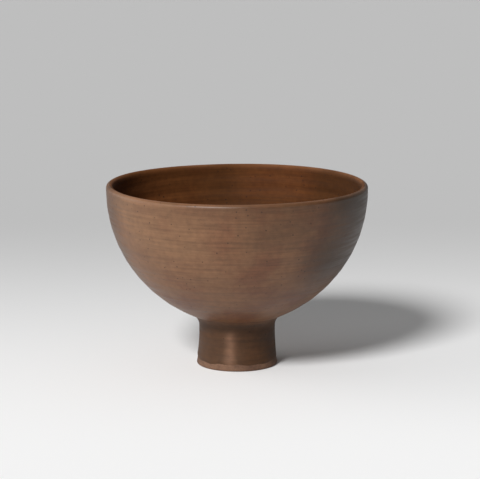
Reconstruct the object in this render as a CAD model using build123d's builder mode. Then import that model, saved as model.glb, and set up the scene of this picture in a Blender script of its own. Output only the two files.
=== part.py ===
"""A footed bowl in burnished terra sigillata, as a potter puts it together.

A thrown bowl and a thrown hollow foot are scored, luted with slip and strengthened with a
coil of clay on each side of the seam. Thin coats of fine slip then cover the bowl inside
and out and the outside of the foot, down to a band that is wiped clean.

The bowl turns about +Z and stands on z = 0. Sizes are in millimetres. All the cross
sections are drawn in the XZ plane, where x is the distance from the axis.
"""

import os
from math import asin, atan2, cos, degrees, radians, sqrt

from build123d import *

# The bowl
belly_radius = 75.0  # outside, at the widest level
belly_curve = 79.5  # radius of the curve of the outer wall
collar_height = 2.4  # from the widest level to the top of the lip
collar_lean = 0.2  # how far the outside of the collar curves in
wall_thickness = 3.6  # at the widest level
inner_side_curve = 60.0  # radius of the inside's curve at the widest level
lip_thickness = 3.4
lip_roundness = 0.45  # share of the lip's thickness that each rounded edge takes
floor_thickness = 5.8  # on the axis
seat_margin = 1.6  # how far the flat seat under the bowl reaches past the foot

# The foot
foot_height = 27.8
foot_waist_radius = 21.6  # outside, under the seam
foot_flare = 1.9  # how much wider the foot stands at its base
foot_wall = 5.2
standing_round = 1.0  # rounding of the standing edge, inside and out

# The seam between bowl and foot
luting_thickness = 0.8
score_count = 3  # scored rings on each face
score_pitch = 1.4
score_depth = 0.5
joint_round = 8.0  # hollow of the coil outside the seam
hollow_round = 3.0  # hollow of the coil inside the foot

# The slip coats
slip_thickness = 0.3
bare_band = 3.2  # wiped clean above the standing edge

# The outer wall curves up from the edge of the seat and is upright at the widest level
seat_z = foot_height + luting_thickness
seat_radius = foot_waist_radius + seat_margin
outer_centre_x = belly_radius - belly_curve
belly_height = seat_z + sqrt(belly_curve**2 - (seat_radius - outer_centre_x) ** 2)
outer_centre = Vector(outer_centre_x, belly_height)
seat_turn = degrees(asin((belly_height - seat_z) / belly_curve))

# Inside, a wide arc over the floor runs into the arc that is upright at the widest level
floor_z = seat_z + floor_thickness
inner_radius = belly_radius - wall_thickness
inner_depth = belly_height - floor_z
side_reach = inner_radius - inner_side_curve
inner_floor_curve = (side_reach**2 + inner_depth**2 - inner_side_curve**2) / (
    2 * (inner_depth - inner_side_curve)
)
inner_turn = degrees(atan2(inner_floor_curve - inner_depth, side_reach))

# The collar curves in a little, from the widest level to the lip
rim_z = belly_height + collar_height
collar_curve = (collar_height**2 + collar_lean**2) / (2 * collar_lean)
collar_turn = degrees(asin(collar_height / collar_curve))
lip_outer = belly_radius - collar_lean
lip_inner = lip_outer - lip_thickness
lip_middle = (lip_outer + lip_inner) / 2

# The outer coil's hollow touches the upright wall of the foot and the curve of the bowl
hollow_x = foot_waist_radius + joint_round
hollow_reach = belly_curve + joint_round
hollow_z = belly_height - sqrt(hollow_reach**2 - (hollow_x - outer_centre.X) ** 2)
hollow_centre = Vector(hollow_x, hollow_z)
seam_direction = (hollow_centre - outer_centre).normalized()
coil_top = outer_centre + seam_direction * belly_curve
coil_turn = 180 - degrees(atan2(coil_top.Y - hollow_z, coil_top.X - hollow_x))

# Below the coil the foot flares from upright out to its base
flare_curve = (hollow_z**2 + foot_flare**2) / (2 * foot_flare)
flare_centre = Vector(foot_waist_radius + flare_curve, hollow_z)
outer_flare_turn = degrees(asin(hollow_z / flare_curve))
inner_flare_curve = flare_curve + foot_wall
inner_flare_turn = degrees(asin(hollow_z / inner_flare_curve))
hollow_radius = foot_waist_radius - foot_wall
seam_middle = (hollow_radius + foot_waist_radius) / 2
foot_base_radius = foot_waist_radius + foot_flare
hollow_base_radius = flare_centre.X - inner_flare_curve * cos(radians(inner_flare_turn))

os.makedirs("parts", exist_ok=True)


def inner_wall(into_clay=0.0):
    """Draws the inside of the bowl's wall, or a line that runs beside it in the clay."""
    side_centre = (side_reach, belly_height)
    floor_centre = (0, floor_z + inner_floor_curve)
    side = CenterArc(side_centre, inner_side_curve + into_clay, 0, -inner_turn)
    floor = CenterArc(floor_centre, inner_floor_curve + into_clay, -inner_turn, inner_turn - 90)
    return side @ 0, floor @ 1


# Cross section of the luting slip, which fills the scored rings on both faces
with BuildSketch(Plane.XZ) as luting_section:
    with Locations((seam_middle, (foot_height + seat_z) / 2)):
        Rectangle(foot_wall, luting_thickness)
    for score in range(score_count):
        score_x = seam_middle + (score - (score_count - 1) / 2) * score_pitch
        with BuildLine():
            Polyline(
                (score_x, foot_height - score_depth),
                (score_x + score_depth, foot_height),
                (score_x + score_depth, seat_z),
                (score_x, seat_z + score_depth),
                (score_x - score_depth, seat_z),
                (score_x - score_depth, foot_height),
                close=True,
            )
        make_face()

# Cross section of the bowl
with BuildSketch(Plane.XZ) as bowl_section:
    with BuildLine():
        outer_wall = CenterArc(outer_centre, belly_curve, -seat_turn, seat_turn)
        CenterArc((belly_radius - collar_curve, belly_height), collar_curve, 0, collar_turn)
        inner_top, inner_bottom = inner_wall()
        Polyline((lip_outer, rim_z), (lip_inner, rim_z), inner_top)
        Polyline(inner_bottom, (0, seat_z), outer_wall @ 0)
    make_face()
    lip_corners = bowl_section.vertices().group_by(Axis.Y)[-1]
    fillet(lip_corners, lip_roundness * lip_thickness)
    add(luting_section.sketch_local, mode=Mode.SUBTRACT)

# Cross section of the foot
with BuildSketch(Plane.XZ) as foot_section:
    with BuildLine():
        outer_flare = CenterArc(flare_centre, flare_curve, 180, outer_flare_turn)
        inner_flare = CenterArc(flare_centre, inner_flare_curve, 180, inner_flare_turn)
        Line(outer_flare @ 1, inner_flare @ 1)
        Polyline(
            inner_flare @ 0,
            (hollow_radius, foot_height),
            (foot_waist_radius, foot_height),
            outer_flare @ 0,
        )
    make_face()
    standing_corners = foot_section.vertices().group_by(Axis.Y)[0]
    fillet(standing_corners, standing_round)
    add(luting_section.sketch_local, mode=Mode.SUBTRACT)

# Cross section of the coil around the seam: what its hollow leaves outside bowl and foot
with BuildSketch(Plane.XZ) as outer_coil_section:
    with BuildLine():
        coil_hollow = CenterArc(hollow_centre, joint_round, 180, -coil_turn)
        Polyline(
            coil_hollow @ 1,
            (seam_middle, coil_top.Y),
            (seam_middle, hollow_z),
            coil_hollow @ 0,
        )
    make_face()
    for neighbour in (bowl_section, foot_section, luting_section):
        add(neighbour.sketch_local, mode=Mode.SUBTRACT)

# Cross section of the coil inside the hollow foot
with BuildSketch(Plane.XZ) as inner_coil_section:
    with BuildLine():
        inner_hollow = CenterArc(
            (hollow_radius - hollow_round, seat_z - hollow_round), hollow_round, 90, -90
        )
        Polyline(inner_hollow @ 1, (hollow_radius, seat_z), inner_hollow @ 0)
    make_face()

# The slip lies on the outline of all the clay together
clay_sections = (
    bowl_section,
    luting_section,
    foot_section,
    outer_coil_section,
    inner_coil_section,
)
with BuildSketch(Plane.XZ) as clay_outline:
    for section in clay_sections:
        add(section.sketch_local)
with BuildSketch(Plane.XZ) as slip_outline:
    offset(clay_outline.sketch_local, amount=slip_thickness)
    add(clay_outline.sketch_local, mode=Mode.SUBTRACT)

# Everything inside a line down the middle of the bowl's wall
with BuildSketch(Plane.XZ) as inside_window:
    with BuildLine():
        middle_top, middle_bottom = inner_wall(into_clay=wall_thickness / 2)
        window_top = rim_z + lip_thickness
        Polyline(
            middle_top,
            (lip_middle, rim_z),
            (lip_middle, window_top),
            (0, window_top),
            middle_bottom,
        )
    make_face()

# The outside of the foot, from the wiped band up to the top of the coil
with BuildSketch(Plane.XZ) as foot_window:
    with BuildLine():
        foot_middle = (foot_waist_radius + hollow_base_radius) / 2
        window_side = max(foot_base_radius, coil_top.X) + joint_round
        seam_step = seam_direction * (joint_round / 2)
        seam_outside = coil_top + seam_step
        seam_inside = coil_top - seam_step
        Polyline(
            (foot_middle, bare_band),
            (window_side, bare_band),
            (window_side, hollow_z),
            (seam_outside.X, seam_outside.Y),
            (seam_inside.X, seam_inside.Y),
            (foot_middle, seam_inside.Y),
            close=True,
        )
    make_face()

# The outside of the bowl, above the top of the coil
with BuildSketch(Plane.XZ) as outside_window:
    with BuildLine():
        window_end = outer_centre + seam_direction * hollow_reach
        Polyline(
            (outer_centre.X, outer_centre.Y),
            (window_end.X, window_end.Y),
            (belly_radius + joint_round, window_end.Y),
            (belly_radius + joint_round, window_top),
            (outer_centre.X, window_top),
            close=True,
        )
    make_face()
    add(inside_window.sketch_local, mode=Mode.SUBTRACT)

# The thrown bowl
with BuildPart() as bowl:
    revolve(bowl_section.sketch, axis=Axis.Z)
bowl.part.label = "bowl"
export_step(bowl.part, "parts/bowl.step")

# The thrown foot, a hollow ring
with BuildPart() as foot:
    revolve(foot_section.sketch, axis=Axis.Z)
foot.part.label = "foot"
export_step(foot.part, "parts/foot.step")

# The slip that lutes the foot to the bowl
with BuildPart() as luting_slip:
    revolve(luting_section.sketch, axis=Axis.Z)
luting_slip.part.label = "luting_slip"
export_step(luting_slip.part, "parts/luting_slip.step")

# The coil worked in around the seam
with BuildPart() as outer_coil:
    revolve(outer_coil_section.sketch, axis=Axis.Z)
outer_coil.part.label = "outer_coil"
export_step(outer_coil.part, "parts/outer_coil.step")

# The coil worked in from below, inside the foot
with BuildPart() as inner_coil:
    revolve(inner_coil_section.sketch, axis=Axis.Z)
inner_coil.part.label = "inner_coil"
export_step(inner_coil.part, "parts/inner_coil.step")

# The slip coat inside the bowl, up to the crest of the lip
with BuildPart() as inner_slip_coat:
    with BuildSketch(Plane.XZ):
        add(slip_outline.sketch_local)
        add(inside_window.sketch_local, mode=Mode.INTERSECT)
    revolve(axis=Axis.Z)
inner_slip_coat.part.label = "inner_slip_coat"
export_step(inner_slip_coat.part, "parts/inner_slip_coat.step")

# The slip coat outside the bowl, from the coil up to the crest of the lip
with BuildPart() as outer_slip_coat:
    with BuildSketch(Plane.XZ):
        add(slip_outline.sketch_local)
        add(outside_window.sketch_local, mode=Mode.INTERSECT)
    revolve(axis=Axis.Z)
outer_slip_coat.part.label = "outer_slip_coat"
export_step(outer_slip_coat.part, "parts/outer_slip_coat.step")

# The slip coat over the coil and the foot, down to the wiped band
with BuildPart() as foot_slip_coat:
    with BuildSketch(Plane.XZ):
        add(slip_outline.sketch_local)
        add(foot_window.sketch_local, mode=Mode.INTERSECT)
    revolve(axis=Axis.Z)
foot_slip_coat.part.label = "foot_slip_coat"
export_step(foot_slip_coat.part, "parts/foot_slip_coat.step")

height = rim_z + slip_thickness
width = 2 * (belly_radius + slip_thickness)
print(f"bowl {width:.1f} mm across and {height:.1f} mm high, foot {2 * foot_base_radius:.1f} mm across")
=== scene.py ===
# %% [markdown]
# # A footed bowl in burnished terra sigillata
# Terra sigillata is the finest part of a clay slip. The potter brushes it on the dry pot and rubs it
# with a smooth stone until it shines, without any glaze, and the smoke of the firing then clouds it.
# This lesson dresses a bowl of that kind. The frame below holds its pieces at their real size, and
# every piece that shows is worked out again as a surface that carries the marks of the hand.

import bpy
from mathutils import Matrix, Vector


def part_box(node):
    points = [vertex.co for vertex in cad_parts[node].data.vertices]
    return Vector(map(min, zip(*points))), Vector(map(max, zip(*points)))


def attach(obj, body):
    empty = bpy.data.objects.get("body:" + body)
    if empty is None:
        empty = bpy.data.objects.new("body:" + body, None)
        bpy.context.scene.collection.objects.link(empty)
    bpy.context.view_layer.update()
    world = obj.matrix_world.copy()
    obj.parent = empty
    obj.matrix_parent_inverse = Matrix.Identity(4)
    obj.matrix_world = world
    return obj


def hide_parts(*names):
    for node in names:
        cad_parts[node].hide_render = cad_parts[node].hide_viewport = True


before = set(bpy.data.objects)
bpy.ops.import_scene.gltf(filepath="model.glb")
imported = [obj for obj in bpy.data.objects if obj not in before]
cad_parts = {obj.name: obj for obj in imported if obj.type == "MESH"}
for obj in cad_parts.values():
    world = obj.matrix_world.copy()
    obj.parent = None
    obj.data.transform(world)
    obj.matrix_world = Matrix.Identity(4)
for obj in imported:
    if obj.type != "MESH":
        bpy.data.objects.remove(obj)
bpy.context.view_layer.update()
print("frame:", ", ".join(sorted(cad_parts)))

# %% [markdown]
# ## Sizes
# A bowl is a turned shape, so most of it is known from a few radii and heights. The box of each piece
# in the frame gives them, and the curves that a box can't give are written here in millimetres.
# In the section of the bowl, r is the distance from the axis and z the height.

# %% Sizes of the bowl and the seam
from math import asin, atan2, cos, degrees, pi, radians, sin, sqrt

import bpy
import numpy as np

mm = 0.001
low = {name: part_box(name)[0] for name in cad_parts}
high = {name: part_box(name)[1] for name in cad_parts}

belly_radius = high["bowl"].x
rim_z = high["bowl"].z
seat_z = low["bowl"].z
floor_z = low["inner_slip_coat"].z
slip = high["outer_slip_coat"].x - belly_radius
coil_top = np.array([high["outer_coil"].x, high["outer_coil"].z])
hollow_z = low["outer_coil"].z
waist_radius = high["luting_slip"].x
hollow_radius = high["inner_coil"].x

belly_curve = 79.5 * mm
outer_centre = np.array([belly_radius - belly_curve, 0])
outer_centre[1] = coil_top[1] + sqrt(belly_curve**2 - (coil_top[0] - outer_centre[0]) ** 2)
belly_z = outer_centre[1]
print(f"belly {belly_radius / mm:.1f} mm at z {belly_z / mm:.1f}, rim at z {rim_z / mm:.1f}")
print(f"slip {slip / mm:.2f} mm thick")

# %% [markdown]
# ## The section of the wall
# Outside, the wall is one large arc that opens wider all the way up and is upright only at the rim,
# where a short collar and a half round lip end it. Inside, two arcs reach from the lip to the floor.
# The line could be a spline through points picked by eye, but arcs that touch have no flat spots,
# and their sizes can be read and changed. The line runs counter-clockwise, so that its direction
# turned a quarter turn to the right always points out of the clay.

# %% Arcs, even spacing and normals
def arc(centre, radius, start, end, count=200):
    """Points on a circle: the centre plus radius times (cos, sin), from start to end in degrees."""
    angle = np.radians(np.linspace(start, end, count))
    return np.column_stack([centre[0] + radius * np.cos(angle), centre[1] + radius * np.sin(angle)])


def smooth(low_end, high_end, value):
    """The smooth step 3u² - 2u³, where u goes from 0 at low_end to 1 at high_end and is held there."""
    u = np.clip((value - low_end) / (high_end - low_end), 0, 1)
    return u * u * (3 - 2 * u)


def lengths(line):
    """How far each point of a line is from its start, along the line."""
    return np.append(0, np.cumsum(np.linalg.norm(np.diff(line, axis=0), axis=1)))


def spaced(line, count):
    """The line again, as count points at equal steps of length."""
    along = lengths(line)
    steps = np.linspace(0, along[-1], count)
    return np.column_stack([np.interp(steps, along, line[:, axis]) for axis in (0, 1)])


def outward(line):
    """Unit normals of a section line: its direction (dr, dz), made one long and turned to (dz, -dr)."""
    direction = np.gradient(line, axis=0)
    direction /= np.linalg.norm(direction, axis=1, keepdims=True)
    return np.column_stack([direction[:, 1], -direction[:, 0]])


# %% The two sides of the wall
wall_thickness = 3.6 * mm
collar_lean = 0.2 * mm
lip_round = 1.7 * mm
inner_side_curve = 60 * mm

collar_height = rim_z - belly_z
collar_curve = (collar_height**2 + collar_lean**2) / (2 * collar_lean)
collar_centre = (belly_radius - collar_curve, belly_z)
lip_turn = degrees(asin((collar_height - lip_round) / (collar_curve - lip_round)))
lip_radius = collar_centre[0] + (collar_curve - lip_round) * cos(radians(lip_turn))
lip_centre = (lip_radius, rim_z - lip_round)

inner_radius = belly_radius - wall_thickness
inner_depth = belly_z - floor_z
side_reach = inner_radius - inner_side_curve
side_drop = inner_depth - inner_side_curve
floor_curve = (side_reach**2 + inner_depth**2 - inner_side_curve**2) / (2 * side_drop)
inner_turn = degrees(atan2(floor_curve - inner_depth, side_reach))


def wall_outside(start):
    """The outside of the wall, from an angle on its large arc up to the crest of the lip."""
    return np.vstack([
        arc(outer_centre, belly_curve, start, 0, 800),
        arc(collar_centre, collar_curve, 0, lip_turn)[1:],
        arc(lip_centre, lip_round, lip_turn, 90)[1:],
    ])


def wall_inside():
    """The inside of the wall, from the crest of the lip down to the middle of the floor."""
    fall = np.linspace(0, 1, 200)
    collar_r = lip_radius - lip_round + (inner_radius - lip_radius + lip_round) * smooth(0, 1, fall)
    collar_z = lip_centre[1] + (belly_z - lip_centre[1]) * fall
    return np.vstack([
        arc(lip_centre, lip_round, 90, 180),
        np.column_stack([collar_r, collar_z])[1:],
        arc((side_reach, belly_z), inner_side_curve, 0, -inner_turn)[1:],
        arc((0, floor_z + floor_curve), floor_curve, -inner_turn, -90, 800)[1:],
    ])


coil_top_angle = degrees(atan2(coil_top[1] - belly_z, coil_top[0] - outer_centre[0]))
outside_length = lengths(wall_outside(coil_top_angle))[-1]
inside_length = lengths(wall_inside())[-1]
print(f"the wall is {outside_length / mm:.0f} mm long outside and {inside_length / mm:.0f} mm inside")

# %% [markdown]
# ## The unevenness of handwork
# Nothing thrown is quite round. As the bowl dries it pulls a little oval and its rim dips, and the
# surface keeps gentle swells from the fingers. A noise texture in the material could fake this, but
# then the outline would stay perfect. Here sums of waves, each with a whole number of turns around the
# axis so that no seam shows, push the points themselves. The shifts only go inwards and down, so the
# bowl stays within its measured size, and they fade out at the seam with the foot.

# %% Waves, and how the wall settles
columns = 360
bearing = np.linspace(0, 2 * pi, columns, endpoint=False)[None, :]


def swells(along, around, wave_length, seed, most_turns=7, waves=14):
    """Waves added up, about -1 to 1: each is the cosine of turns * around + pitch * along + phase."""
    draw = np.random.default_rng(seed)
    turns = draw.integers(1, most_turns + 1, waves)
    pitch = 2 * pi / (wave_length * draw.uniform(0.6, 1.8, waves)) * draw.choice([-1, 1], waves)
    phase = draw.uniform(0, 2 * pi, waves)
    total = np.cos(turns * around[..., None] + pitch * along[..., None] + phase).sum(axis=-1)
    return total / (1.6 * sqrt(waves))


oval = 0.5 * mm / belly_radius
oval_bearing = radians(35)
rim_dip = 0.8 * mm
dip_bearing, ripple_count, ripple_phase = 2.3, 3, 0.7


def settled(points):
    """Points after drying: pulled in by a cosine of twice the bearing, and down by two more cosines."""
    x, y, z = np.moveaxis(points, -1, 0)
    around = np.arctan2(y, x)
    share = np.clip((z - coil_top[1]) / (rim_z - coil_top[1]), 0, 1) ** 2
    pull = 1 - oval * share * (1 + np.cos(2 * (around - oval_bearing))) / 2
    ripple = np.cos(around - dip_bearing) + np.cos(ripple_count * around + ripple_phase)
    dip = rim_dip * share * (2 + ripple) / 4
    return np.stack([x * pull, y * pull, z - dip], axis=-1)


def turned(line, depth):
    """A section line carried around the axis: each point moves by depth along its normal, then turns."""
    normal = outward(line)
    r = line[:, :1] + normal[:, :1] * depth
    z = line[:, 1:] + normal[:, 1:] * depth
    places = np.broadcast_arrays(r * np.cos(bearing), r * np.sin(bearing), z)
    return settled(np.stack(places, axis=-1))


print(f"oval by {oval * belly_radius / mm:.1f} mm, rim dips {rim_dip / mm:.1f} mm, {columns} columns around")

# %% [markdown]
# ## From rings of points to a mesh
# Each piece is a stack of rings around the axis. A coat of slip has a closed section, so its last ring
# joins its first. The bowl's section starts and ends on the axis, so a single point closes each end.
# Blender could spin a profile, but that leaves doubled points at the seam and the poles. Numbered
# rings have none, and the order of the corners makes every face look outwards.

# %% A mesh from rings
def ring_mesh(name, rings, poles=None):
    """Faces between neighbouring rings. Fans close the poles, or else the last ring joins the first."""
    count, around = rings.shape[:2]
    corner = np.arange(count * around).reshape(count, around)
    above = np.roll(corner, -1, axis=0)
    if poles is not None:
        corner, above = corner[:-1], above[:-1]
    quads = np.stack([corner, np.roll(corner, -1, 1), np.roll(above, -1, 1), above], axis=-1)
    points = rings.reshape(-1, 3)
    faces = quads.reshape(-1, 4).tolist()
    if poles is not None:
        points = np.vstack([points, poles])
        start, end = corner[0], above[-1]
        below = np.full(around, count * around)
        faces += np.stack([below, np.roll(start, -1), start], axis=-1).tolist()
        faces += np.stack([end, np.roll(end, -1), below + 1], axis=-1).tolist()
    mesh = bpy.data.meshes.new(name)
    mesh.from_pydata(points.tolist(), [], faces)
    mesh.shade_smooth()
    return mesh


def paint(mesh, **values):
    """Stores a number for every point of the mesh under each name, for the materials to read."""
    for name, numbers in values.items():
        layer = mesh.attributes.new(name, "FLOAT", "POINT")
        flat = np.zeros(len(mesh.vertices), np.float32)
        flat[: numbers.size] = numbers.ravel()
        flat[numbers.size :] = numbers.ravel()[-1]
        layer.data.foreach_set("value", flat)


def place(mesh, node, crease=50):
    """Puts a finished mesh in the scene for a node. Edges sharper than crease degrees stay sharp."""
    mesh.set_sharp_from_angle(angle=radians(crease))
    piece = bpy.data.objects.new("dressed_" + node, mesh)
    bpy.context.scene.collection.objects.link(piece)
    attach(piece, "root")
    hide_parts(node)
    triangles = sum(len(face.vertices) - 2 for face in mesh.polygons)
    print(f"{piece.name}: {len(mesh.vertices)} points, {triangles} triangles")
    return piece


# %% [markdown]
# ## The thrown bowl
# The clay body itself is hidden under the slip, except underneath, where the hollow foot leaves a disc
# of it bare. The turning tool left a spiral there, and three scored rings take the slip that holds the
# foot. The scores are real V grooves in the section, because the luting slip fills them.

# %% The clay body of the bowl
score_count, score_pitch, score_depth = 3, 1.4 * mm, 0.5 * mm
seam_middle = (waist_radius + hollow_radius) / 2
scores = seam_middle + (np.arange(score_count) - (score_count - 1) / 2) * score_pitch
score_r = (scores[:, None] + score_depth * np.array([-1, 0, 1])).ravel()
score_z = np.tile(score_depth * np.array([0, 1, 0]), score_count)

seat_angle = -degrees(asin((belly_z - seat_z) / belly_curve))
turned_rings = np.linspace(0.5 * mm, hollow_radius, 40)
seat_r = np.concatenate([turned_rings, score_r])
seat_lift = np.concatenate([np.zeros_like(turned_rings), score_z])
seat_line = np.column_stack([seat_r, seat_z + seat_lift])

spiral_pitch, spiral_depth = 2.4 * mm, 0.12 * mm
inner_coil_edge = low["inner_coil"].z - seat_z + hollow_radius
spiral_fade = smooth(0, 3 * mm, seat_r) * smooth(0, 2 * mm, inner_coil_edge - seat_r)
spiral_phase = 2 * pi * seat_r[:, None] / spiral_pitch - bearing
spiral = spiral_depth * spiral_fade[:, None] * (1 + np.cos(spiral_phase)) / 2

clay_outside = spaced(wall_outside(seat_angle), 90)
clay_inside = spaced(wall_inside(), 90)[1:-1]
seat_rings = turned(seat_line, 0)
seat_rings[..., 2] += spiral
bowl_rings = np.vstack([seat_rings, turned(np.vstack([clay_outside, clay_inside]), 0)])
bowl_mesh = ring_mesh("clay_bowl", bowl_rings, poles=[(0, 0, seat_z), (0, 0, floor_z)])
clay_bowl = place(bowl_mesh, "bowl", crease=35)

# %% [markdown]
# ## The slip coat outside
# The coat is only a third of a millimetre thick. Its outer face shows how it was worked: broad throwing
# swells, and over them the long strokes of the burnishing stone, which leave faint flat bands that
# wander around the bowl. The strokes are a folded wave along the wall, a row of shallow facets. Four
# numbers go with every point for the finish to read. Climb is its distance up the wall, which lets
# streaks follow the strokes. The other three tell how dark and how pale the colour is painted, and how
# far the lip is rubbed. The darkness is mostly painted shade: on the right, the side away from the lamp,
# and below the front of the lip, where the slip mirrors the dark room rather than the bright floor. The
# paleness is a painted sheen on the lit left side. Both are soft clouds, each set by a bearing and a
# distance from the lip, so they stay where they are on the bowl from whichever side it is seen.

# %% The outer coat
stroke_width, stroke_depth = 5.2 * mm, 0.035 * mm
throw_pitch, throw_depth = 11 * mm, 0.09 * mm
swell_depth = 0.12 * mm
wear_width = 1.6 * mm
cloud_drift, cloud_shift = 0.08, 4 * mm


def burnish_strokes(climb, seed):
    """Shallow facets from 0 to 1: the folded wave |sin| of climb over stroke width, wandering in phase."""
    wander = 0.55 * swells(climb, bearing, 60 * mm, seed, most_turns=5)
    return np.abs(np.sin(pi * (climb / stroke_width + wander)))


def throwing_rings(climb, pitch):
    """A spiral of soft ridges from 0 to 1: a cosine that gains a turn of phase with each turn around."""
    return (1 + np.cos(2 * pi * climb / pitch - bearing)) / 2


outer_face = spaced(wall_outside(coil_top_angle), 170)
outer_climb = lengths(outer_face)[:, None]
worked = smooth(0, 8 * mm, outer_climb) * smooth(0, 6 * mm, outside_length - outer_climb)
worn_in = stroke_depth * (1 - burnish_strokes(outer_climb, 11))
worn_in = worn_in + throw_depth * (1 - throwing_rings(outer_climb, throw_pitch))
worn_in = worn_in + swell_depth * (1 - swells(outer_climb, bearing, 45 * mm, 12)) / 2
outer_clay_face = spaced(wall_outside(coil_top_angle), 60)[::-1]
outer_rings = np.vstack([turned(outer_face, slip - worked * worn_in), turned(outer_clay_face, 0)])
outer_mesh = ring_mesh("outer_coat", outer_rings)

every_climb = np.vstack([outer_climb, lengths(outer_clay_face[::-1])[::-1, None]]) + 0 * bearing
lip_distance = outside_length - every_climb
drift = swells(every_climb, bearing, 50 * mm, 13)


def cloud(middle, half_width, full, end, most):
    """A cloud: a smooth step of the cosine of the bearing from its middle, times one of lip distance."""
    facing = np.cos(bearing - radians(middle)) + cloud_drift * drift
    across = smooth(cos(radians(half_width)), 1, facing)
    return most * across * smooth(end * mm, full * mm, lip_distance + cloud_shift * drift)


# Clouds of darkness painted on the outer coat. Most of them are painted shade, not smoke.
smoke_clouds = [
    # Painted shade on the right, the side away from the lamp.
    cloud(-11, 58, full=38, end=80, most=1.0),
    # Painted shade along the lip at the front and right, where the slip mirrors the dark room.
    cloud(-50, 96, full=0, end=16, most=0.5),
    # Painted shade in a band below the front of the lip.
    cloud(-70, 32, full=16, end=36, most=0.42),
    # Darker on the left near the lip.
    cloud(172, 40, full=45, end=75, most=0.6),
]
paint(
    outer_mesh,
    climb=every_climb,
    smoke=np.max(smoke_clouds, axis=0),
    # A paler, greyer colour high on the lit left side: a painted sheen.
    ash=cloud(232, 42, full=25, end=65, most=0.65),
    wear=np.exp(-((lip_distance / wear_width) ** 2)),
)
outer_coat = place(outer_mesh, "outer_slip_coat")

# %% [markdown]
# ## The slip coat inside
# The potter's fingers climb the inside in one spiral while the wheel turns, and inside a bowl nobody
# scrapes it away. The ridges stay, wider and deeper than any mark outside, and run out in a small
# swirl on the floor. The same coat of slip lies over them, and smoke collects in the hollow, so the
# inside is much darker. The left of the inside, which the lamp leaves in shade, is painted paler, and a
# paler place under the lip on the far right is a painted patch of lamp light.

# %% The inner coat
finger_pitch, finger_depth = 9 * mm, 0.28 * mm
inner_face = spaced(wall_inside(), 170)[:-1]
inner_fall = lengths(inner_face)[:, None]
to_middle = inside_length - inner_fall
fingered = smooth(3 * mm, 14 * mm, inner_fall) * smooth(1 * mm, 9 * mm, to_middle)
ridges = finger_depth * throwing_rings(inner_fall, finger_pitch)
ridges = ridges + swell_depth * swells(inner_fall, bearing, 40 * mm, 21)
ridges = ridges - stroke_depth * burnish_strokes(inner_fall, 22)
inner_clay_face = spaced(wall_inside(), 60)[-2::-1]
inner_rings = np.vstack([turned(inner_clay_face, 0), turned(inner_face, slip + fingered * ridges)])
inner_mesh = ring_mesh("inner_coat", inner_rings, poles=[(0, 0, floor_z), (0, 0, floor_z + slip)])

every_fall = np.vstack([lengths(inner_clay_face[::-1])[::-1, None], inner_fall]) + 0 * bearing
# Painted light: a paler place on the far right inside, just under the lip, where the lamp shines in.
rim_light_bearing, rim_light_width, rim_light_share = radians(71), 0.88, 0.7
painted_rim_light = smooth(rim_light_width, 1, np.cos(bearing - rim_light_bearing)) * smooth(34 * mm, 8 * mm, every_fall)
paint(
    inner_mesh,
    climb=outside_length + every_fall,
    # Smoke all round the inside, painted paler on the left, where the lamp leaves it in shade: painted
    # light.
    smoke=smooth(-0.9, 0.1, np.cos(bearing)) * (1 - rim_light_share * painted_rim_light),
    wear=np.exp(-((every_fall / wear_width) ** 2)),
)
inner_coat = place(inner_mesh, "inner_slip_coat")

# %% [markdown]
# ## The foot
# The foot is a thrown ring, upright under the seam and flared a little towards its base, with a hollow
# that runs beside it. Its section is one closed line: up the outside, in over the top with its scored
# rings, and down the inside. A finger rounded the standing edge, so two small circles that touch the
# floor and the flares take the place of its corners. Shallow dents keep the outside from being perfect.

# %% The clay body of the foot
foot_top = high["foot"].z
foot_flare = 1.9 * mm
foot_wall = waist_radius - hollow_radius
edge_round = 1 * mm
dent_depth = 0.22 * mm
flare_curve = (hollow_z**2 + foot_flare**2) / (2 * foot_flare)
flare_centre = (waist_radius + flare_curve, hollow_z)


def standing_edge(reach):
    """The circle that rounds the edge: it stands on the floor, its centre at reach from the flare's."""
    rise = degrees(asin((hollow_z - edge_round) / reach))
    return (flare_centre[0] - reach * cos(radians(rise)), edge_round), rise


def dents(z):
    """Shallow dents in the foot, as a depth below zero: waves that fade out at the edge and the seam."""
    free = smooth(0, 4 * mm, z) * smooth(hollow_z, hollow_z - 6 * mm, z)
    return -dent_depth * free * (1 + swells(z, bearing, 16 * mm, 31)) / 2


outer_edge, outer_rise = standing_edge(flare_curve + edge_round)
inner_edge, inner_rise = standing_edge(flare_curve + foot_wall - edge_round)
outer_flare = arc(flare_centre, flare_curve, 180 + outer_rise, 180)
inner_flare = arc(flare_centre, flare_curve + foot_wall, 180, 180 + inner_rise)
foot_line = np.vstack([
    arc(outer_edge, edge_round, -90, outer_rise, 9),
    spaced(outer_flare, 40)[1:],
    (waist_radius, foot_top),
    np.column_stack([score_r, foot_top - score_z])[::-1],
    (hollow_radius, foot_top),
    spaced(inner_flare, 40),
    arc(inner_edge, edge_round, 180 + inner_rise, 270, 9)[1:],
])
foot_mesh = ring_mesh("clay_foot", turned(foot_line, dents(foot_line[:, 1:])))
clay_foot = place(foot_mesh, "foot", crease=40)

# %% [markdown]
# ## The slip coat on the foot
# The coat runs from the bowl down over the hollow of the seam, where a coil of clay was smoothed in
# with a fingertip, and on down the foot. Before the firing the potter wiped the standing edge clean, so
# the coat ends a little above the floor in a soft, wavy line. Every column of points therefore starts at
# a height of its own, and the coat thins out to nothing there. Below the seam the foot is painted darker,
# and a paler upright streak on its front left is a painted highlight.

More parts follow.
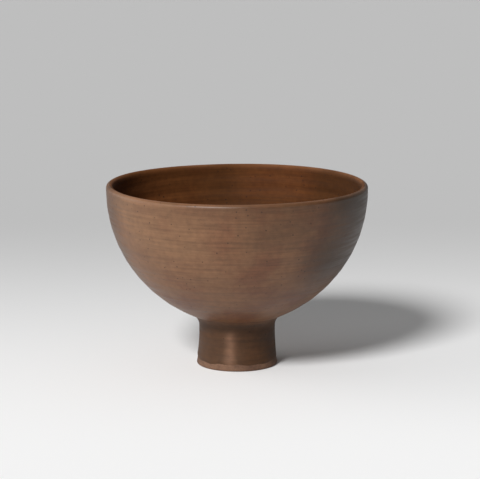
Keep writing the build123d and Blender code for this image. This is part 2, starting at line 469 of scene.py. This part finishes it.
# %% The foot's coat
bare_band = low["foot_slip_coat"].z
wipe_wave, feather = 1.2 * mm, 1.8 * mm
coil_width, coil_rise = coil_top - (waist_radius, hollow_z)
coil_round = (coil_width**2 + coil_rise**2) / (2 * coil_width)
coil_end = 180 - degrees(atan2(coil_rise, coil_round - coil_width))
seam_hollow = arc((waist_radius + coil_round, hollow_z), coil_round, 180, coil_end)
coat_line = np.vstack([outer_flare, seam_hollow[1:]])
coat_length = lengths(coat_line)
coat_sides = np.column_stack([coat_line, outward(coat_line)]).T


def on_foot(along, depth):
    """Points at a length along the coat's line, moved along its normal by dents and depth, then turned."""
    r, z, normal_r, normal_z = (np.interp(along, coat_length, part) for part in coat_sides)
    depth = depth + dents(z)
    r = r + normal_r * depth
    return np.stack([r * np.cos(bearing), r * np.sin(bearing), z + normal_z * depth], axis=-1)


wave = swells(0 * bearing, bearing, 1.0, 41, most_turns=13)
wiped = np.interp(bare_band, coat_line[:, 1], coat_length)
wiped = wiped + wipe_wave * (1 + wave) / 2
coat_along = wiped + (coat_length[-1] - wiped) * np.linspace(0, 1, 64)[:, None]
thickness = slip * np.sqrt(smooth(-0.1 * mm, feather, coat_along - wiped))
coat_rings = np.vstack([on_foot(coat_along, thickness), on_foot(coat_along, 0)[::-1]])
coat_mesh = ring_mesh("foot_coat", coat_rings)

foot_climb = np.vstack([coat_along, coat_along[::-1]]) - coat_length[-1]
# A painted highlight: a paler upright streak on the front left of the foot, facing the lamp.
highlight_bearing, highlight_width = radians(-100), radians(8)
painted_highlight_streak = np.exp((np.cos(bearing - highlight_bearing) - 1) / (1 - cos(highlight_width)))
painted_highlight_streak = painted_highlight_streak * smooth(-6 * mm, -14 * mm, foot_climb)
# Below the seam the foot is painted darker.
foot_darkness = 0.9
foot_smoke = foot_darkness * smooth(2 * mm, -8 * mm, foot_climb) * (1 - painted_highlight_streak)
paint(coat_mesh, climb=foot_climb, smoke=foot_smoke, wear=0 * foot_climb)
foot_coat = place(coat_mesh, "foot_slip_coat")

# %% [markdown]
# ## The coil inside the foot
# A thin roll of clay is pressed into the corner between foot and bowl from below. Nobody sees it
# unless the bowl is turned over, so it was left as the fingertip left it: a row of shallow dents. The
# section is the corner less a quarter circle, and the dents deepen that circle in turn.

# %% The pressed coil
coil_hollow = seat_z - low["inner_coil"].z
press_count, press_depth, press_wander = 13, 0.7 * mm, 2.5
press_angle = np.radians(np.linspace(90, 0, 16))[:, None]
press_phase = press_wander * swells(0 * bearing, bearing, 1.0, 51, most_turns=4)
presses = (1 + np.cos(press_count * bearing + press_phase)) / 2
press_radius = coil_hollow + press_depth * presses * np.sin(2 * press_angle)
side_rise = np.linspace(0, 1, 5)[1:, None] * coil_hollow + 0 * bearing
top_run = np.linspace(0, 1, 5)[1:-1, None] * coil_hollow + 0 * bearing
coil_r = np.vstack([
    hollow_radius - coil_hollow + press_radius * np.cos(press_angle),
    hollow_radius + 0 * side_rise,
    hollow_radius - top_run,
])
coil_z = np.vstack([
    seat_z - coil_hollow + press_radius * np.sin(press_angle),
    seat_z - coil_hollow + side_rise,
    seat_z + 0 * top_run,
])
coil_rings = np.stack([coil_r * np.cos(bearing), coil_r * np.sin(bearing), coil_z], axis=-1)
pressed_coil = place(ring_mesh("pressed_coil", coil_rings), "inner_coil")

# %% [markdown]
# ## Colours and nodes
# Colours are written as hex values, as a paint chart gives them, but Blender mixes light, not hex
# values, so one function turns them into linear numbers. A second one adds a shader node with its
# settings and links, which keeps each material below short enough to read as a recipe.

# %% Two helpers for materials
def linear(hex_colour):
    """A hex colour as linear light: part / 12.92 if dark, or else ((part + 0.055) / 1.055) ** 2.4."""
    part = np.array([int(hex_colour[i : i + 2], 16) for i in (1, 3, 5)]) / 255
    light = np.where(part <= 0.04045, part / 12.92, ((part + 0.055) / 1.055) ** 2.4)
    return (*light.tolist(), 1.0)


def add(tree, kind, inputs, output=0, **settings):
    """Adds a node with its settings, links or sets its inputs by name or number, returns one output."""
    node = tree.nodes.new("ShaderNode" + kind)
    for name, value in settings.items():
        setattr(node, name, value)
    for key, value in inputs.items():
        if isinstance(value, bpy.types.NodeSocket):
            tree.links.new(value, node.inputs[key])
        else:
            node.inputs[key].default_value = value
    return node.outputs[output] if node.outputs else None


def new_material(name):
    """An empty node material and its tree."""
    material = bpy.data.materials.new(name)
    material.use_nodes = True
    material.node_tree.nodes.clear()
    return material, material.node_tree


print("burnished brown in linear light:", [round(part, 3) for part in linear("#6D4C34")[:3]])

# %% [markdown]
# ## Burnished terra sigillata
# The slip is an iron-rich clay of particles so fine that rubbing lays them flat, so it shines like
# leather rather than like glass. Five things make up its colour: clouds where smoke touched it, with
# painted shade from the points, a paler painted sheen, patches where the iron fired redder, fine streaks
# along the burnishing strokes, and dark iron specks. The roughness follows the strokes as well. On the
# lip the slip is rubbed thin in places and the clay shows.
# The coat inside is the same slip, only deeper in smoke, so one recipe makes both, and the darkness
# painted on the points, smoke and painted shade together, carries one into the other over the lip.

# %% The slip's recipe
cloud_size, patch_size = 46 * mm, 21 * mm
streak_length, streak_width = 34 * mm, 1.5 * mm
mottle_size = 3.2 * mm
speck_spacing = 4.2 * mm
grit_size = 0.9 * mm
slip_bump = 0.02 * mm
ash_colour, rubbed_colour, speck_colour = "#77583F", "#8E6244", "#2A1A12"


def burnished_slip(name, clean, red, smoked, cloud_start, roughness, shine):
    """The slip in its clean, red and smoked colours. A lower cloud_start gives more clouds of smoke."""
    material, tree = new_material(name)
    place_on_bowl = add(tree, "TexCoord", {}, output="Object")
    climb = add(tree, "Attribute", {}, output="Fac", attribute_name="climb")
    smoke = add(tree, "Attribute", {}, output="Fac", attribute_name="smoke")
    wear = add(tree, "Attribute", {}, output="Fac", attribute_name="wear")
    ash = add(tree, "Attribute", {}, output="Fac", attribute_name="ash")
    rise = add(tree, "Math", {0: climb, 1: 1 / streak_width}, operation="MULTIPLY")
    rise = add(tree, "CombineXYZ", {"Z": rise})
    level = (1 / streak_length, 1 / streak_length, 0)
    stroke_place = add(tree, "VectorMath", {0: place_on_bowl, 1: level, 2: rise}, operation="MULTIPLY_ADD")

    cloud_noise = {"Vector": place_on_bowl, "Scale": 1 / cloud_size, "Detail": 3.0, "Distortion": 0.6}
    clouds = add(tree, "TexNoise", cloud_noise)
    patch_noise = {"Vector": place_on_bowl, "Scale": 1 / patch_size, "Detail": 4.0, "Roughness": 0.6}
    patches = add(tree, "TexNoise", patch_noise)
    streaks = add(tree, "TexNoise", {"Vector": stroke_place, "Scale": 1.0, "Detail": 3.0, "Roughness": 0.6})
    mottle = add(tree, "TexNoise", {"Vector": place_on_bowl, "Scale": 1 / mottle_size, "Detail": 2.0})
    grit = add(tree, "TexNoise", {"Vector": place_on_bowl, "Scale": 1 / grit_size, "Detail": 2.0})
    speck = add(tree, "TexVoronoi", {"Vector": place_on_bowl, "Scale": 1 / speck_spacing}, output="Distance")

    redness = add(tree, "MapRange", {0: patches, 1: 0.4, 2: 0.66}, interpolation_type="SMOOTHSTEP")
    colour = add(tree, "Mix", {0: redness, 6: linear(clean), 7: linear(red)}, output=2, data_type="RGBA")
    # A painted sheen: paler and greyer where the points ask for it.
    colour = add(tree, "Mix", {0: ash, 6: colour, 7: linear(ash_colour)}, output=2, data_type="RGBA")
    cloud_range = {0: clouds, 1: cloud_start, 2: cloud_start + 0.22, 4: 0.75}
    cloudiness = add(tree, "MapRange", cloud_range, interpolation_type="SMOOTHSTEP")
    # The darker of the smoke noise and the darkness painted on the points, which is partly painted shade.
    darkness = add(tree, "Math", {0: cloudiness, 1: smoke}, operation="MAXIMUM")
    colour = add(tree, "Mix", {0: darkness, 6: colour, 7: linear(smoked)}, output=2, data_type="RGBA")
    streak_shade = add(tree, "MapRange", {0: streaks, 1: 0.3, 2: 0.7, 3: 0.8, 4: 1.2})
    mottle_shade = add(tree, "MapRange", {0: mottle, 1: 0.3, 2: 0.7, 3: 0.9, 4: 1.1})
    shade = add(tree, "Math", {0: streak_shade, 1: mottle_shade}, operation="MULTIPLY")
    colour = add(tree, "VectorMath", {0: colour, 1: shade}, operation="MULTIPLY")
    rubbed = add(tree, "MapRange", {0: patches, 1: 0.3, 2: 0.7, 4: 0.7})
    rubbed = add(tree, "Math", {0: rubbed, 1: wear}, operation="MULTIPLY")
    colour = add(tree, "Mix", {0: rubbed, 6: colour, 7: linear(rubbed_colour)}, output=2, data_type="RGBA")
    speck_share = add(tree, "MapRange", {0: speck, 1: 0.07, 2: 0.13, 3: 0.75, 4: 0.0})
    speck_mix = {0: speck_share, 6: colour, 7: linear(speck_colour)}
    colour = add(tree, "Mix", speck_mix, output=2, data_type="RGBA")

    gloss = add(tree, "MapRange", {0: streaks, 1: 0.3, 2: 0.7, 3: roughness - 0.08, 4: roughness + 0.1})
    height = add(tree, "Math", {0: streaks, 1: 0.7, 2: grit}, operation="MULTIPLY_ADD")
    normal = add(tree, "Bump", {"Height": height, "Strength": 1.0, "Distance": slip_bump})
    surface = {"Base Color": colour, "Roughness": gloss, "Normal": normal}
    shader = add(tree, "BsdfPrincipled", {**surface, "IOR": 1.5, "Specular IOR Level": shine})
    add(tree, "OutputMaterial", {"Surface": shader})
    return material


# %% [markdown]
# ## Giving the coats their slip
# Outside, the slip is a warm brown with a few clouds. The foot has the same slip, but a stone hardly
# reaches in under the bowl, so it was rubbed less and shines less. Inside, nearly all of it is smoked
# to a dark brown, and it was rubbed least of all, because a stone is hard to work in a hollow.

# %% The three finishes of slip
outer_slip = burnished_slip("burnished_terra_sigillata", "#6D4C34", "#633F2A", "#33200D", 0.66, 0.43, 0.36)
foot_slip = burnished_slip("rubbed_terra_sigillata", "#684B38", "#5E402E", "#3E2714", 0.66, 0.6, 0.25)
inner_slip = burnished_slip("smoked_terra_sigillata", "#633A1C", "#5A3116", "#43260E", 0.7, 0.72, 0.12)
outer_coat.data.materials.append(outer_slip)
foot_coat.data.materials.append(foot_slip)
inner_coat.data.materials.append(inner_slip)
print("slip on", outer_coat.name, foot_coat.name, inner_coat.name)

# %% [markdown]
# ## Bare clay
# Where no slip lies, the body shows: a coarse red-brown earthenware. Grog, which is fired clay ground to
# grit, stands out in it as paler and darker grains, and the knife drags them along the cut faces. Clay
# like this is quite dull, so only a little light comes back as gloss. The clay of the joint is the same
# body mixed thin, smoother and a shade darker.

# %% The clay's recipe
grain_size, grog_spacing = 0.7 * mm, 2.1 * mm
smear_size = 9 * mm
clay_bump = 0.09 * mm


def earthenware(name, clay, dark, grog, grog_share, roughness):
    """Clay between its own colour and a darker one in smears, with grog and bumps the size of grit."""
    material, tree = new_material(name)
    where = add(tree, "TexCoord", {}, output="Object")
    smear_noise = {"Vector": where, "Scale": 1 / smear_size, "Detail": 5.0, "Roughness": 0.65}
    smears = add(tree, "TexNoise", smear_noise)
    grain_noise = {"Vector": where, "Scale": 1 / grain_size, "Detail": 3.0, "Roughness": 0.7}
    grains = add(tree, "TexNoise", grain_noise)
    grog_place = add(tree, "TexVoronoi", {"Vector": where, "Scale": 1 / grog_spacing}, output="Distance")
    smear_share = add(tree, "MapRange", {0: smears, 1: 0.35, 2: 0.68}, interpolation_type="SMOOTHSTEP")
    colour = add(tree, "Mix", {0: smear_share, 6: linear(clay), 7: linear(dark)}, output=2, data_type="RGBA")
    grain_shade = add(tree, "MapRange", {0: grains, 1: 0.3, 2: 0.7, 3: 0.78, 4: 1.22})
    colour = add(tree, "VectorMath", {0: colour, 1: grain_shade}, operation="MULTIPLY")
    grog_here = add(tree, "MapRange", {0: grog_place, 1: 0.1, 2: 0.2, 3: grog_share, 4: 0.0})
    colour = add(tree, "Mix", {0: grog_here, 6: colour, 7: linear(grog)}, output=2, data_type="RGBA")
    height = add(tree, "Math", {0: grog_here, 1: 0.8, 2: grains}, operation="MULTIPLY_ADD")
    normal = add(tree, "Bump", {"Height": height, "Strength": 1.0, "Distance": clay_bump})
    surface = {"Base Color": colour, "Roughness": roughness, "IOR": 1.5, "Normal": normal}
    shader = add(tree, "BsdfPrincipled", surface)
    add(tree, "OutputMaterial", {"Surface": shader})
    return material


bare_clay = earthenware("bare_earthenware", "#6A4C38", "#523828", "#86664E", 0.6, 0.82)
joint_clay = earthenware("luting_clay", "#4A3224", "#3A261A", "#644834", 0.3, 0.75)
for piece in (clay_bowl, clay_foot):
    piece.data.materials.append(bare_clay)
pressed_coil.data.materials.append(joint_clay)
for node in ("luting_slip", "outer_coil"):
    for material_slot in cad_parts[node].material_slots:
        material_slot.material = joint_clay
print("bare clay on bowl and foot, joint clay on the coils and the luting slip")

# %% [markdown]
# ## The floor
# The bowl stands on a sheet of pale paper, white in front and painted to a light grey behind: the grey
# is painted shade, for light that falls off with distance. A curved backdrop would hide the bowl in
# views from the back, so the sheet stays flat and its colour does the fading. It is one-sided: seen
# from underneath it isn't there, so that the foot can be looked at.

# %% The paper floor
floor_reach = 8.0
paper_front, paper_back = "#F4F4F4", "#BEBEBE"
# Where the painted shade of the far paper begins and ends.
fade_start, fade_end = -0.19, 0.48

floor_mesh = bpy.data.meshes.new("paper_floor")
floor_side = floor_reach * np.array([[-1, -1, 0], [1, -1, 0], [1, 1, 0], [-1, 1, 0]])
floor_mesh.from_pydata(floor_side.tolist(), [], [(0, 1, 2, 3)])
floor = bpy.data.objects.new("paper_floor", floor_mesh)
bpy.context.scene.collection.objects.link(floor)

paper, paper_tree = new_material("graded_paper")
paper_place = add(paper_tree, "TexCoord", {}, output="Object")
paper_depth = add(paper_tree, "SeparateXYZ", {0: paper_place}, output="Y")
fade_range = {0: paper_depth, 1: fade_start, 2: fade_end}
fade = add(paper_tree, "MapRange", fade_range, interpolation_type="SMOOTHSTEP")
paper_colours = {0: fade, 6: linear(paper_front), 7: linear(paper_back)}
paper_colour = add(paper_tree, "Mix", paper_colours, output=2, data_type="RGBA")
paper_shader = add(paper_tree, "BsdfDiffuse", {"Color": paper_colour})
behind = add(paper_tree, "NewGeometry", {}, output="Backfacing")
nothing = add(paper_tree, "BsdfTransparent", {})
paper_shader = add(paper_tree, "MixShader", {0: behind, 1: paper_shader, 2: nothing})
add(paper_tree, "OutputMaterial", {"Surface": paper_shader})
floor_mesh.materials.append(paper)
print(f"paper floor {2 * floor_reach:.0f} m wide")

# %% [markdown]
# ## Light
# One soft lamp stands far in front of the bowl, to the left and above, and throws its shadow back and to
# the right. A sun lamp with a wide disc gives that: its light is even over the whole sheet, and the width
# of the disc sets how soft the shadow's edge is. The rest comes from the studio around: a pale backdrop
# behind, a bright wall on the left, a lit ceiling, and a dark room elsewhere. The burnished slip mirrors
# all of that faintly. The lamp makes up what the studio lacks, so that a level sheet is lit about as
# brightly as its own colour, and colours can be read off the render.

# %% The lamp and the studio
from mathutils import Vector

lamp_turn, lamp_rise = radians(-28.5), radians(37.5)
lamp_disc = radians(16)
room_dark = 0.04
wall = ((-0.985, 0.174, 0), 0.6, 0.97, 2.0)
backdrop = ((0, 1, 0), -0.1, 0.6, 0.3)
ceiling = ((0, 0, 1), 0.3, 0.9, 0.22)

rise = np.linspace(0, pi / 2, 91)[:, None]
level_reach = np.cos(rise)
sky_parts = (level_reach * np.cos(bearing), level_reach * np.sin(bearing), np.sin(rise))
sky = np.stack(np.broadcast_arrays(*sky_parts), axis=-1)
sky_weight = np.sin(rise) * np.cos(rise) + 0 * bearing
sky_light = room_dark
for facing, begin, full, light in (wall, backdrop, ceiling):
    sky_light = np.maximum(sky_light, light * smooth(begin, full, sky @ facing))
studio_share = (sky_light * sky_weight).sum() / sky_weight.sum()
lamp_strength = (1 - studio_share) * pi / sin(lamp_rise)

lamp_level = cos(lamp_rise)
towards_lamp = Vector((sin(lamp_turn) * lamp_level, -cos(lamp_turn) * lamp_level, sin(lamp_rise)))
lamp_data = bpy.data.lights.new("soft_lamp", "SUN")
lamp_data.angle = lamp_disc
lamp_data.energy = lamp_strength
lamp = bpy.data.objects.new("soft_lamp", lamp_data)
lamp.location = towards_lamp
lamp.rotation_euler = (-towards_lamp).to_track_quat("-Z", "Y").to_euler()
bpy.context.scene.collection.objects.link(lamp)

world = bpy.data.worlds.new("studio")
world.use_nodes = True
studio = world.node_tree
studio.nodes.clear()
towards = add(studio, "TexCoord", {}, output="Generated")
level = room_dark
for facing, begin, full, light in (wall, backdrop, ceiling):
    dot = {0: towards, 1: facing}
    towards_side = add(studio, "VectorMath", dot, output="Value", operation="DOT_PRODUCT")
    side_range = {0: towards_side, 1: begin, 2: full, 4: light}
    side = add(studio, "MapRange", side_range, interpolation_type="SMOOTHSTEP")
    level = add(studio, "Math", {0: level, 1: side}, operation="MAXIMUM")
surroundings = add(studio, "Background", {"Color": (1, 1, 1, 1), "Strength": level})
add(studio, "OutputWorld", {"Surface": surroundings})
bpy.context.scene.world = world
bpy.context.scene.view_settings.view_transform = "Standard"
print(f"lamp strength {lamp_strength:.2f}, share of the studio {studio_share:.2f}")

# %% [markdown]
# ## The camera
# The photograph looks down on the bowl at about eleven degrees, from far enough away that the rim is
# hardly wider in front than behind. A long lens from more than a metre gives that. The bowl sits a
# little below the middle of the picture, so the camera aims at a point above it.

# %% The camera
camera_distance, camera_elevation = 1.3, radians(10.9)
camera_lens, sensor_width = 169.5, 36.0
aim = Vector((1.7 * mm, 0, 72.6 * mm))

camera_data = bpy.data.cameras.new("camera")
camera_data.lens = camera_lens
camera_data.sensor_width = sensor_width
camera = bpy.data.objects.new("camera", camera_data)
back = Vector((0, -cos(camera_elevation), sin(camera_elevation)))
camera.location = aim + back * camera_distance
camera.rotation_euler = (-back).to_track_quat("-Z", "Y").to_euler()
bpy.context.scene.collection.objects.link(camera)
bpy.context.scene.camera = camera
print("camera at", [round(part, 3) for part in camera.location])
